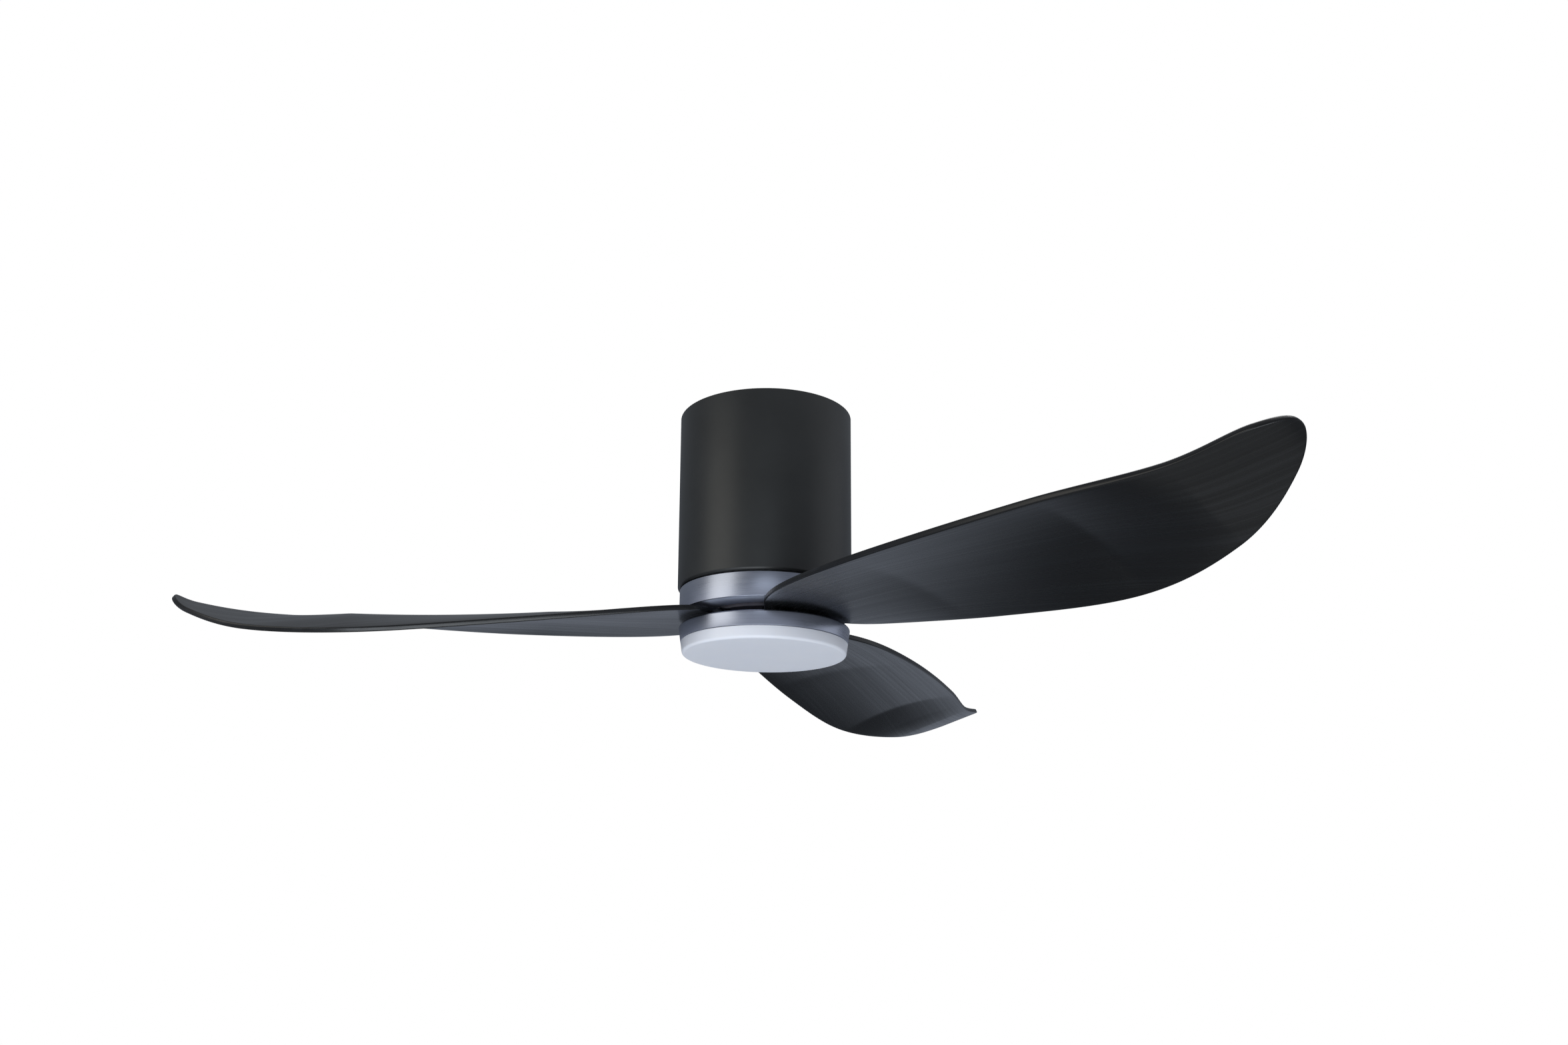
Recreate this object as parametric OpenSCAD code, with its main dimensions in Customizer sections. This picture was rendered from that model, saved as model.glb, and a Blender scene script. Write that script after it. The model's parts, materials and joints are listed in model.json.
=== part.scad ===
// Low-profile three-blade ceiling fan with a light under the hub.
// Millimetres, +Z up. Origin: centre of the ceiling plane the bracket sits on.
// The fan hangs below it, so nearly every height here is negative.

/* [Blades] */
// Diameter of the circle swept by the blade tips
blade_sweep = 1320; // [1240:10:1400]
// Thickness of the moulded blade
blade_t = 6; // [5:0.5:7]
// Upward bow of the blade between its two edges
blade_camber = 10; // [6:1:12]
// Direction of the first blade, degrees from +X
blade_turn = -48; // [-60:1:60]

/* [Canopy] */
// Outside diameter of the canopy at the ceiling
canopy_d = 193; // [191:1:196]
// How much the canopy's radius shrinks towards its lower edge
canopy_taper = 1.5; // [0:0.1:2]
// Height of the canopy below the ceiling
canopy_h = 202.3; // [200:0.1:202.6]

/* [Rings] */
// Outside diameter of the turning trim ring
upper_ring_d = 185.2; // [184:0.2:186]
// Outside diameter of the light pan
pan_d = 185.2; // [185:0.2:187]
// Depth of the diffuser below the light pan
diffuser_drop = 13.4; // [12:0.2:16]

/* [Mounting] */
// Circle of the four ceiling screw holes
mount_circle_d = 120; // [116:1:126]
// Ceiling screw hole
mount_hole_d = 6.5; // [5:0.5:7]

/* [Hidden] */
$fn = 96;
canopy_r = canopy_d / 2;
upper_ring_r = upper_ring_d / 2;
pan_r = pan_d / 2;
blades = 3;
step = 360 / blades;
z_ring_top = -203.6;
z_ring_low = -230.3;
z_seat = -234;
z_root = -237;
z_pan_top = -244.6;
z_pan_low = -260.5;
z_face = z_pan_low - diffuser_drop;
post_az = [30, 150, 270];
canopy_screw_az = [40, 140];
z_canopy_screw = -10.5;
root_x = 64;
tip_y = -102;
tip_x = sqrt(pow(blade_sweep / 2, 2) - tip_y * tip_y);
// Blade edge stations, root to tip along the leading edge, then back along the trailing edge.
edge_y = [-96, -119, -123, -120, -124, tip_y, -69, -20, 31, 56, 70];
edge_z = [-237, -238, -236, -236, -228, -225, -248, -273, -281, -265, -237];
blade_rows = 26;
blade_cols = 8;
rim_n = 3;

// ---------- small shapes ----------

module tube(ro, ri, z0, z1) {
  translate([0, 0, z0])
    difference() {
      cylinder(r = ro, h = z1 - z0);
      translate([0, 0, -1]) cylinder(r = ri, h = z1 - z0 + 2);
    }
}

module rod(r, z0, z1) {
  translate([0, 0, z0]) cylinder(r = r, h = z1 - z0);
}

module block(x, y, z0, z1) {
  translate([-x / 2, -y / 2, z0]) cube([x, y, z1 - z0]);
}

// Pan-head screw, head down: shank from z0 up to z1, head below z0.
module pan_screw(r, rh, hh, z0, z1) {
  difference() {
    union() {
      rod(r, z0 - 0.01, z1);
      rod(rh, z0 - hh, z0);
    }
    translate([-rh * 0.6, -rh * 0.12, z0 - hh - 1]) cube([rh * 1.2, rh * 0.24, 1 + hh * 0.5]);
    translate([-rh * 0.12, -rh * 0.6, z0 - hh - 1]) cube([rh * 0.24, rh * 1.2, 1 + hh * 0.5]);
  }
}

module ring_of(n, r, a0 = 0) {
  for (i = [0 : n - 1]) rotate([0, 0, a0 + i * 360 / n]) translate([r, 0, 0]) children();
}

module at_blades() {
  for (i = [0 : blades - 1]) rotate([0, 0, blade_turn + i * step]) children();
}

// ---------- ceiling end ----------

module ceiling_bracket() {
  color([0.72, 0.73, 0.75])
  difference() {
    union() {
      rod(86, -2.5, 0);
      for (a = canopy_screw_az) rotate([0, 0, a]) {
        translate([80, -10, -2.5]) cube([13, 20, 2.5]);
        translate([90.5, -10, -18.5]) cube([2.5, 20, 16.01]);
      }
    }
    rod(16, -4, 1);
    ring_of(4, mount_circle_d / 2, 45) rod(mount_hole_d / 2, -4, 1);
    for (a = post_az) rotate([0, 0, a]) translate([44, 0, 0]) {
      rod(2.15, -4, 1);
      translate([0, 0, -2.2]) cylinder(r1 = 2.15, r2 = 4.4, h = 2.3);
    }
    for (a = canopy_screw_az) rotate([0, 0, a])
      translate([85, 0, z_canopy_screw]) rotate([0, 90, 0]) cylinder(r = 1.7, h = 20);
    for (a = [0 : 60 : 300]) rotate([0, 0, a]) translate([72, 0, 0]) rod(5, -4, 1);
  }
}

module canopy() {
  rb = canopy_r - canopy_taper;
  h = canopy_h;
  color([0.19, 0.20, 0.21])
  difference() {
    rotate_extrude() {
      difference() {
        union() {
          polygon([[rb - 3.7, -h + 3], [rb, -h + 3], [canopy_r, 0], [rb - 3.7, 0]]);
          translate([rb - 3.7, -h]) square([0.7, 3]);
          translate([rb - 3, -h + 3]) circle(r = 3, $fn = 48);
        }
        polygon([[rb - 8, -h + 2], [rb - 2, -h + 2], [rb - 2, -h + 3], [canopy_r - 2, 0],
                 [canopy_r - 2, 1], [rb - 8, 1]]);
      }
    }
    for (a = canopy_screw_az) rotate([0, 0, a])
      translate([rb - 8, 0, z_canopy_screw]) rotate([0, 90, 0]) cylinder(r = 2.2, h = 14);
  }
}

module canopy_screws() {
  color([0.25, 0.26, 0.27])
  for (a = canopy_screw_az) rotate([0, 0, a]) translate([0, 0, z_canopy_screw])
    rotate([0, -90, 0]) translate([0, 0, -canopy_r - 0.05]) pan_screw(1.65, 3.8, 2.4, 0, 12);
}

module hanger_posts() {
  color([0.75, 0.76, 0.78])
  for (a = post_az) rotate([0, 0, a]) translate([44, 0, 0])
    difference() {
      translate([0, 0, -116]) cylinder(r = 5, h = 113.5, $fn = 6);
      rod(2.1, -20, 0);
      rod(2.1, -117, -98);
    }
}

module post_screws_top() {
  color([0.80, 0.80, 0.82])
  for (a = post_az) rotate([0, 0, a]) translate([44, 0, 0])
    difference() {
      union() {
        rod(2.05, -16, -2.1);
        translate([0, 0, -2.11]) cylinder(r1 = 2.05, r2 = 3.9, h = 1.9);
      }
      translate([-2, -0.4, -1.2]) cube([4, 0.8, 2]);
      translate([-0.4, -2, -1.2]) cube([0.8, 4, 2]);
    }
}

module post_screws_low() {
  color([0.80, 0.80, 0.82])
  for (a = post_az) rotate([0, 0, a]) translate([44, 0, 0]) pan_screw(2.05, 4, 2.6, -119, -104);
}

module carrier_plate() {
  color([0.70, 0.71, 0.73])
  difference() {
    rod(82, -119, -116);
    rod(11, -120, -115);
    for (a = post_az) rotate([0, 0, a]) translate([44, 0, 0]) rod(2.3, -120, -115);
    ring_of(3, 24, 90) rod(2.1, -120, -115);
    for (a = [0 : 60 : 300]) rotate([0, 0, a]) translate([72, 0, 0]) rod(6, -120, -115);
  }
}

module safety_cable() {
  color([0.6, 0.6, 0.62])
  rotate([0, 0, 120]) translate([60, 0, 0]) {
    rod(1, -115, -3.5);
    rod(2.4, -12.5, -2.5);
    rod(2.4, -116, -106);
  }
}

module terminal_block() {
  color([0.88, 0.88, 0.85])
  translate([0, 62, 0])
    difference() {
      union() {
        block(36, 18, -116, -108);
        block(36, 8, -108.01, -100);
      }
      for (i = [-1 : 1]) translate([i * 11, 0, 0]) {
        rod(1.9, -110, -99);
        translate([0, -10, -112]) rotate([-90, 0, 0]) cylinder(r = 2, h = 20);
      }
    }
}

module terminal_screws() {
  color([0.75, 0.72, 0.60])
  for (i = [-1 : 1]) translate([i * 11, 62, 0])
    difference() {
      rod(1.8, -109.5, -102);
      translate([-2, -0.35, -103]) cube([4, 0.7, 2]);
    }
}

module cord_clamp() {
  color([0.85, 0.85, 0.83])
  translate([-46, 40, 0]) rotate([0, 0, 35])
    difference() {
      union() {
        block(26, 8, -116, -113);
        translate([0, 4, -112]) rotate([90, 0, 0]) cylinder(r = 7, h = 8);
      }
      translate([0, 5, -111.5]) rotate([90, 0, 0]) cylinder(r = 4, h = 10);
      block(40, 20, -130, -116);
      for (s = [-1, 1]) translate([s * 10, 0, 0]) rod(1.6, -117, -110);
    }
}

module controller_case() {
  color([0.16, 0.17, 0.18])
  rotate([0, 0, 300]) translate([0, -50, 0])
    difference() {
      block(60, 40, -116, -86);
      block(56, 36, -114, -80);
      for (s = [-1, 1]) translate([s * 15, -21, -100]) rotate([-90, 0, 0]) cylinder(r = 3, h = 4);
    }
}

module controller_lid() {
  color([0.20, 0.21, 0.22])
  rotate([0, 0, 300]) translate([0, -50, 0]) {
    block(60, 40, -86, -84);
    difference() {
      block(55.6, 35.6, -88, -85.99);
      block(52, 32, -89, -85);
    }
  }
}

module controller_board() {
  color([0.10, 0.35, 0.20])
  rotate([0, 0, 300]) translate([0, -50, 0])
    difference() {
      block(54, 34, -110, -108.4);
      for (s = [-1, 1]) translate([s * 23, 0, 0]) rod(1.6, -112, -106);
    }
}

module controller_parts() {
  color([0.12, 0.12, 0.14])
  rotate([0, 0, 300]) translate([0, -50, 0]) {
    for (s = [-1 : 1]) translate([s * 13, 9, 0]) rod(5, -108.4, -92);
    translate([-12, -9, 0]) block(14, 10, -108.4, -104);
    translate([8, -9, 0]) block(16, 12, -108.4, -97);
    translate([22, -9, 0]) block(6, 8, -108.4, -101);
  }
}

module lamp_driver() {
  color([0.92, 0.92, 0.90])
  rotate([0, 0, -30]) translate([58, 0, 0])
    difference() {
      block(24, 54, -116, -94);
      for (s = [-1, 1]) translate([0, s * 22, 0]) rod(2, -117, -110);
      for (s = [-1, 1]) translate([s * 6, 29, -104]) rotate([90, 0, 0]) cylinder(r = 1.6, h = 6);
    }
}

// ---------- fixed shaft and stator ----------

module shaft_collar() {
  color([0.62, 0.63, 0.65])
  difference() {
    union() {
      rod(31, -124, -119);
      rod(18, -142, -123.9);
    }
    rod(10.05, -150, -110);
    ring_of(3, 24, 90) rod(2.6, -126, -110);
    translate([0, 25, -134]) rotate([90, 0, 0]) cylinder(r = 2.55, h = 50);
  }
}

module collar_screws() {
  color([0.80, 0.80, 0.82])
  ring_of(3, 24, 90) pan_screw(2.05, 4, 2.8, -124, -114.5);
}

module collar_pin() {
  color([0.55, 0.56, 0.58])
  translate([0, 19.5, -134]) rotate([90, 0, 0]) cylinder(r = 2.5, h = 39);
}

module motor_shaft() {
  color([0.78, 0.79, 0.80])
  difference() {
    union() {
      rod(10, -213.5, -110);
      rod(8.5, -244.6, -213.4);
      rod(8, -257, -244.5);
    }
    rod(6, -260, -100);
    translate([0, 12, -134]) rotate([90, 0, 0]) cylinder(r = 2.55, h = 24);
    translate([0, 0, -169.6]) rotate([0, 90, 0]) cylinder(r = 2.4, h = 12);
  }
}

module stator_flat(grow = 0) {
  difference() {
    union() {
      circle(r = 27 + grow);
      for (i = [0 : 11]) rotate(i * 30) translate([20, -3.5 - grow]) square([40, 7 + 2 * grow]);
      intersection() {
        difference() {
          circle(r = 64);
          circle(r = 59.5);
        }
        for (i = [0 : 11]) rotate(i * 30) translate([50, -13.5]) square([20, 27]);
      }
    }
    circle(r = 10.15 + grow);
  }
}

module stator_core() {
  color([0.45, 0.46, 0.48])
  difference() {
    translate([0, 0, -193]) linear_extrude(20) stator_flat();
    for (a = [45, 165, 285]) rotate([0, 0, a]) translate([19, 0, 0]) rod(2.2, -200, -160);
  }
}

module stator_insulators() {
  color([0.85, 0.83, 0.75])
  for (z = [-194.2, -173]) translate([0, 0, z]) linear_extrude(1.2)
    difference() {
      stator_flat(0.3);
      circle(r = 14);
    }
}

module windings() {
  color([0.72, 0.42, 0.22])
  for (i = [0 : 11]) rotate([0, 0, i * 30]) translate([44, 0, 0])
    difference() {
      intersection() {
        block(30, 15, -198, -168);
        translate([-18, 0, 0]) rotate([0, 90, 0]) translate([183, 0, 0]) cylinder(r = 16, h = 60);
      }
      block(40, 8, -194.4, -171.6);
      translate([-44, 0, 0]) rotate([0, 0, 14.2]) translate([0, 0, -200]) cube([80, 30, 40]);
      translate([-44, 0, 0]) rotate([0, 0, -14.2]) translate([0, -30, -200]) cube([80, 30, 40]);
    }
}

module race_in(ri, ro, z0, z1) {
  zc = (z0 + z1) / 2;
  difference() {
    tube(ro, ri, z0, z1);
    translate([0, 0, zc]) rotate_extrude() translate([ro + 1.2, 0]) circle(r = 2.6, $fn = 32);
  }
}

module race_out(ri, ro, z0, z1) {
  zc = (z0 + z1) / 2;
  difference() {
    tube(ro, ri, z0, z1);
    translate([0, 0, zc]) rotate_extrude() translate([ri - 1.2, 0]) circle(r = 2.6, $fn = 32);
  }
}

module upper_bearing_inner() {
  color([0.80, 0.81, 0.82]) race_in(10.02, 13.6, -165, -153);
}

module upper_bearing_outer() {
  color([0.80, 0.81, 0.82]) race_out(16.6, 20.95, -165, -153);
}

module upper_balls() {
  color([0.86, 0.87, 0.88])
  ring_of(9, 15.1) translate([0, 0, -159]) sphere(r = 2.2, $fn = 24);
}

module lower_bearing_inner() {
  color([0.80, 0.81, 0.82]) race_in(8.52, 11.4, -223.5, -213.5);
}

module lower_bearing_outer() {
  color([0.80, 0.81, 0.82]) race_out(14.4, 17.45, -223.5, -213.5);
}

module lower_balls() {
  color([0.86, 0.87, 0.88])
  ring_of(8, 12.9) translate([0, 0, -218.5]) sphere(r = 2.2, $fn = 24);
}

module bearing_circlip() {
  color([0.5, 0.51, 0.53])
  difference() {
    tube(11.2, 8.55, -224.8, -223.7);
    translate([0, -2, -226]) cube([20, 4, 4]);
  }
}

// ---------- rotor ----------

module rotor_cover() {
  color([0.66, 0.67, 0.69])
  difference() {
    union() {
      rod(84, -200, -162);
      rod(27, -166.5, -150);
    }
    rod(76.35, -201, -166);
    rod(21, -170, -152.9);
    rod(17.5, -160, -140);
    ring_of(6, 80.2, 15) rod(1.75, -202, -186);
    ring_of(6, 52, 15) rod(8, -170, -150);
  }
}

module back_iron() {
  color([0.40, 0.41, 0.43]) tube(76.25, 69.9, -199.9, -168);
}

module magnets() {
  color([0.30, 0.31, 0.33])
  ring_of(16, 0)
    difference() {
      intersection() {
        tube(69.8, 65.2, -197, -170);
        translate([0, -12.6, -200]) cube([80, 25.2, 40]);
      }
    }
}

module rotor_base() {
  color([0.64, 0.65, 0.67])
  difference() {
    union() {
      rod(84, -205, -200);
      rod(24, -226, -204.9);
    }
    rod(17.5, -227, -213.4);
    rod(14, -220, -190);
    ring_of(6, 80.2, 15) rod(2.2, -210, -190);
    ring_of(6, 81, 45) rod(1.35, -206, -201);
    ring_of(6, 68, 0) rod(2.1, -206, -199);
  }
}

module housing_screws() {
  color([0.80, 0.80, 0.82])
  ring_of(6, 80.2, 15) pan_screw(1.7, 3.2, 1.6, -206.6, -190);
}

module upper_ring() {
  r = upper_ring_r;
  color([0.62, 0.66, 0.72])
  difference() {
    rotate_extrude()
      difference() {
        union() {
          translate([76.5, -206.6]) square([r - 77.3, 1.6]);
          translate([r - 1.6, z_ring_low]) square([1.6, z_ring_top - 0.8 - z_ring_low]);
          translate([r - 0.8, z_ring_top - 0.8]) circle(r = 0.8, $fn = 32);
        }
      }
    ring_of(6, 81, 45) rod(1.7, -210, -200);
    ring_of(6, 80.2, 15) rod(2.2, -210, -200);
  }
}

module ring_screws() {
  color([0.80, 0.80, 0.82])
  ring_of(6, 81, 45) pan_screw(1.3, 2.8, 1.6, -206.6, -201.5);
}

module neck_cover() {
  color([0.45, 0.48, 0.55])
  difference() {
    union() {
      tube(upper_ring_r - 1.7, 62.2, -229.6, -227.8);
      tube(upper_ring_r - 1.7, upper_ring_r - 3.4, -227.9, -216);
    }
  }
}

module blade_hub() {
  color([0.13, 0.13, 0.14])
  difference() {
    union() {
      rod(75, -212, -205);
      rod(62, z_seat + 1, -211.9);
    }
    rod(24.4, -240, -200);
    rod(50, -226, -212);
    ring_of(6, 68, 0) rod(2.7, -214, -204);
    at_blades() {
      for (p = tang_holes) translate([p[0], p[1], 0]) rod(2.1, -236, -225);
    }
  }
}

module hub_screws() {
  color([0.80, 0.80, 0.82])
  ring_of(6, 68, 0) pan_screw(2.05, 4.2, 2.8, -212, -200.5);
}

// ---------- blades ----------

tang_holes = [[34, -20], [34, 18], [53, -1]];

module tang_flat(grow = 0) {
  difference() {
    polygon([[27 - grow, -30 - grow], [56, -50 - grow], [56, 43 + grow], [27 - grow, 27 + grow]]);
    for (p = tang_holes) translate(p) circle(r = 2.7);
  }
}

// Catmull-Rom value through evenly spaced numbers, t in 0..len-1
function pick(v, i) =
  i < 0 ? 2 * v[0] - v[1]
  : i > len(v) - 1 ? 2 * v[len(v) - 1] - v[len(v) - 2]
  : v[i];
function curve(v, t) =
  let (n = len(v) - 1, i = min(floor(t), n - 1), f = t - i,
       a = pick(v, i - 1), b = pick(v, i), c = pick(v, i + 1), d = pick(v, i + 2))
  b + 0.5 * f * (c - a + f * (2 * a - 5 * b + 4 * c - d + f * (3 * (b - c) + d - a)));

function row_x(u) = root_x + (tip_x - root_x) * (1 - pow(1 - u, 2));
function lead_y(u) = curve(edge_y, 5 * u) + 38 * exp((root_x - row_x(u)) / 45);
function trail_y(u) = curve(edge_y, 10 - 5 * u) - 28 * exp((root_x - row_x(u)) / 20);
function lead_z(u) = curve(edge_z, 5 * u);
function trail_z(u) = curve(edge_z, 10 - 5 * u);

// Points round one section, from the leading edge over the top and back underneath.
function section(u) =
  let (x = row_x(u),
       a = [lead_y(u), lead_z(u)], b = [trail_y(u), trail_z(u)],
       c = norm(b - a), e = (b - a) / c, up = [-e[1], e[0]],
       near_tip = min(1, (tip_x - x) / (blade_t / 2)),
       h = min(blade_t / 2, c * 0.3) * sqrt(1 - pow(1 - near_tip, 2)),
       bow = blade_camber * min(1, c / 130) * min(1, (x - root_x) / 170)
             * max(0, min(1, (560 - x) / 110)))
  [
    for (k = [0 : rim_n])
      let (w = 90 * k / rim_n, s = h - h * cos(w), o = h * sin(w))
      pt(x, a, e, up, s, o, c, bow),
    for (k = [1 : blade_cols - 1])
      pt(x, a, e, up, h + (c - 2 * h) * k / blade_cols, h, c, bow),
    for (k = [rim_n : -1 : 0])
      let (w = 90 * k / rim_n, s = c - h + h * cos(w), o = h * sin(w))
      pt(x, a, e, up, s, o, c, bow),
    for (k = [1 : rim_n])
      let (w = 90 * k / rim_n, s = c - h + h * cos(w), o = -h * sin(w))
      pt(x, a, e, up, s, o, c, bow),
    for (k = [blade_cols - 1 : -1 : 1])
      pt(x, a, e, up, h + (c - 2 * h) * k / blade_cols, -h, c, bow),
    for (k = [rim_n : -1 : 1])
      let (w = 90 * k / rim_n, s = h - h * cos(w), o = -h * sin(w))
      pt(x, a, e, up, s, o, c, bow)
  ];
function pt(x, a, e, up, s, o, c, bow) =
  let (f = s / c, q = a + e * s + up * (o + bow * 4 * f * (1 - f)))
  [x, q[0], q[1]];

module blade_shell() {
  last = 1 - 0.02;
  rows = [for (i = [0 : blade_rows]) section(last * i / blade_rows)];
  n = len(rows[0]);
  pts = [for (r = rows) for (p = r) p];
  faces = [
    [for (k = [n - 1 : -1 : 0]) k],
    for (i = [0 : blade_rows - 1]) for (k = [0 : n - 1])
      let (p = i * n + k, q = i * n + (k + 1) % n)
      [p, q, p + n],
    for (i = [0 : blade_rows - 1]) for (k = [0 : n - 1])
      let (p = i * n + k, q = i * n + (k + 1) % n)
      [q, q + n, p + n],
    [for (k = [0 : n - 1]) blade_rows * n + k]
  ];
  polyhedron(points = pts, faces = faces, convexity = 6);
}

module blade_tang() {
  h = blade_t / 2;
  translate([0, 0, z_root - h]) linear_extrude(2 * h) tang_flat();
  translate([0, 0, z_root - h]) linear_extrude(2 * h)
    polygon([[55.9, -50], [64.5, -58], [64.5, 42], [55.9, 43]]);
}

module one_blade(i) {
  color([0.13, 0.14, 0.15])
  rotate([0, 0, blade_turn + i * step]) {
    blade_shell();
    blade_tang();
  }
}

module blade_1() {
  one_blade(0);
}

module blade_2() {
  one_blade(1);
}

module blade_3() {
  one_blade(2);
}

module blade_pads() {
  color([0.06, 0.06, 0.06])
  at_blades() translate([0, 0, z_root + blade_t / 2])
    linear_extrude(z_seat + 0.95 - z_root - blade_t / 2) tang_flat(-1);
}

module blade_clamps() {
  color([0.35, 0.36, 0.37])
  at_blades() translate([0, 0, z_root - blade_t / 2 - 1.5]) linear_extrude(1.5)
    intersection() {
      tang_flat(-2);
      circle(r = 61.5);
    }
}

module blade_screws() {
  color([0.70, 0.70, 0.72])
  at_blades() for (p = tang_holes) translate([p[0], p[1], 0])
    pan_screw(2.05, 4.2, 2, z_root - blade_t / 2 - 1.5, -226);
}

// ---------- light ----------

module pan_spacer() {
  color([0.70, 0.71, 0.73]) tube(12, 8.55, z_pan_top + 0.05, -225.5);
}

module light_pan() {
  r = pan_r;
  color([0.62, 0.66, 0.72])
  difference() {
    union() {
      rotate_extrude()
        union() {
          translate([8.2, z_pan_top - 1.5]) square([r - 10.2, 1.5]);
          translate([r - 2, z_pan_top - 2]) intersection() {
            circle(r = 2, $fn = 48);
            square([2, 2]);
          }
          polygon([[r - 3.5, z_pan_top - 1], [r, z_pan_top - 2], [r - 2, z_pan_low],
                   [r - 3.5, z_pan_low]]);
        }
      intersection() {
        tube(r - 3, r - 5.7, -260.3, -258.8);
        for (a = [0, 120, 240]) rotate([0, 0, a - 7]) translate([0, 0, -262])
          intersection() {
            cube([100, 30, 6]);
            rotate([0, 0, 14]) translate([0, -100, 0]) cube([100, 100, 6]);
          }
      }
    }
    ring_of(3, 68, 60) rod(1.35, -250, -240);
  }
}

module pan_washer() {
  color([0.80, 0.80, 0.82]) tube(14, 8.1, -247.5, z_pan_top - 1.5);
}

module pan_nut() {
  color([0.74, 0.72, 0.62])
  difference() {
    translate([0, 0, -253.5]) cylinder(r = 13.8, h = 6, $fn = 6);
    rod(8.05, -256, -240);
  }
}

module lamp_leads() {
  color([0.85, 0.85, 0.82])
  translate([-4.25, 0, 0]) {
    rod(1.5, -259, -108);
    translate([-4, 0, -259]) rotate([-90, 0, 0]) rotate_extrude(angle = 90)
      translate([4, 0]) circle(r = 1.5, $fn = 32);
    translate([-19.5, 0, -263]) rotate([0, 90, 0]) cylinder(r = 1.5, h = 15.51);
  }
}

module motor_leads() {
  color([0.70, 0.15, 0.12])
  union() {
    translate([4.25, 0, 0]) rod(1.5, -169.6, -108);
    translate([4.25, 0, -169.6]) sphere(r = 1.5, $fn = 32);
    translate([4.25, 0, -169.6]) rotate([0, 90, 0]) cylinder(r = 1.5, h = 24.5);
  }
}

module led_board() {
  color([0.93, 0.93, 0.92])
  difference() {
    tube(78, 19, z_pan_top - 3.1, z_pan_top - 1.5);
    ring_of(3, 68, 60) rod(1.7, -252, -240);
  }
}

module led_chips() {
  z0 = z_pan_top - 3.9;
  color([0.98, 0.93, 0.70]) {
    ring_of(24, 60, 7.5) block(3.5, 2.8, z0, z0 + 0.8);
    ring_of(14, 40, 5) block(3.5, 2.8, z0, z0 + 0.8);
  }
}

module led_screws() {
  color([0.80, 0.80, 0.82])
  ring_of(3, 68, 60) pan_screw(1.3, 2.8, 1.8, z_pan_top - 3.1, z_pan_top - 0.1);
}

module led_socket() {
  color([0.95, 0.95, 0.93])
  translate([-27.8, 0, 0])
    difference() {
      block(8, 10, -266, z_pan_top - 3.1);
      translate([1, 0, -263]) rotate([0, 90, 0]) cylinder(r = 1.7, h = 6);
    }
}

module diffuser() {
  top = z_pan_low - 0.3;
  rt = pan_r - 2.3;
  rb = pan_r - 3.6;
  rs = pan_r - 6.1;
  c = 3.5;
  color([0.95, 0.95, 0.97])
  union() {
    rotate_extrude()
      union() {
        difference() {
          union() {
            polygon([[0, z_face], [rb - c, z_face], [rb, z_face + c], [rt, top], [0, top]]);
            translate([rb - c, z_face + c]) circle(r = c, $fn = 48);
          }
          polygon([[-1, z_face + 2], [rb - c, z_face + 2], [rb - 2, z_face + c], [rt - 2, top + 1],
                   [-1, top + 1]]);
          translate([rb - c, z_face + c]) circle(r = c - 2, $fn = 48);
        }
        translate([rs - 1.9, top - 1.5]) square([5, 1.5]);
        translate([rs - 1.9, top - 1]) square([1.9, 5.3]);
      }
    intersection() {
      tube(rs + 1.8, rs - 1.5, -258.5, -256.5);
      for (a = [0, 120, 240]) rotate([0, 0, a - 7]) translate([0, 0, -260])
        intersection() {
          cube([100, 30, 6]);
          rotate([0, 0, 14]) translate([0, -100, 0]) cube([100, 100, 6]);
        }
    }
  }
}

ceiling_bracket();
canopy();
canopy_screws();
hanger_posts();
post_screws_top();
post_screws_low();
carrier_plate();
safety_cable();
terminal_block();
terminal_screws();
cord_clamp();
controller_case();
controller_lid();
controller_board();
controller_parts();
lamp_driver();
shaft_collar();
collar_screws();
collar_pin();
motor_shaft();
stator_core();
stator_insulators();
windings();
upper_bearing_inner();
upper_bearing_outer();
upper_balls();
lower_bearing_inner();
lower_bearing_outer();
lower_balls();
bearing_circlip();
rotor_cover();
back_iron();
magnets();
rotor_base();
housing_screws();
upper_ring();
ring_screws();
neck_cover();
blade_hub();
hub_screws();
blade_pads();
blade_1();
blade_2();
blade_3();
blade_clamps();
blade_screws();
pan_spacer();
light_pan();
pan_washer();
pan_nut();
lamp_leads();
motor_leads();
led_board();
led_chips();
led_screws();
led_socket();
diffuser();
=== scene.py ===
"""Looks for the low-profile ceiling fan with light. Everything is in metres, in the CAD frame."""

import json
import math

import bpy
import numpy as np
from mathutils import Matrix, Vector


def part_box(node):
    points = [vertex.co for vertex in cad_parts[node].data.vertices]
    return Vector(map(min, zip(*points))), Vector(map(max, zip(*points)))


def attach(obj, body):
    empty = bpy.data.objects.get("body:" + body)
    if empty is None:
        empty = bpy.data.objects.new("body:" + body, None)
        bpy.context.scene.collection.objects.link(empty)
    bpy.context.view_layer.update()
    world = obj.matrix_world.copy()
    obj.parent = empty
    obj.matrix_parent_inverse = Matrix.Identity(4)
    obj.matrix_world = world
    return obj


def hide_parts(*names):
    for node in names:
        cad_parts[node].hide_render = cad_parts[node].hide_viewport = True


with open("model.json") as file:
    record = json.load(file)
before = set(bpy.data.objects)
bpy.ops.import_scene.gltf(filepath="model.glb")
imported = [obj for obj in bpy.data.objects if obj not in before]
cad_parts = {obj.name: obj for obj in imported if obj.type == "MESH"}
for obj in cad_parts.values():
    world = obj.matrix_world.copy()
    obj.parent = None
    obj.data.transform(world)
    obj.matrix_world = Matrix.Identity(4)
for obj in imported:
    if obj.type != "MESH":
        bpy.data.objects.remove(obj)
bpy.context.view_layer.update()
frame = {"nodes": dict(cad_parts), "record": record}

MM = 0.001

# ---------------------------------------------------------------- materials


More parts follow.
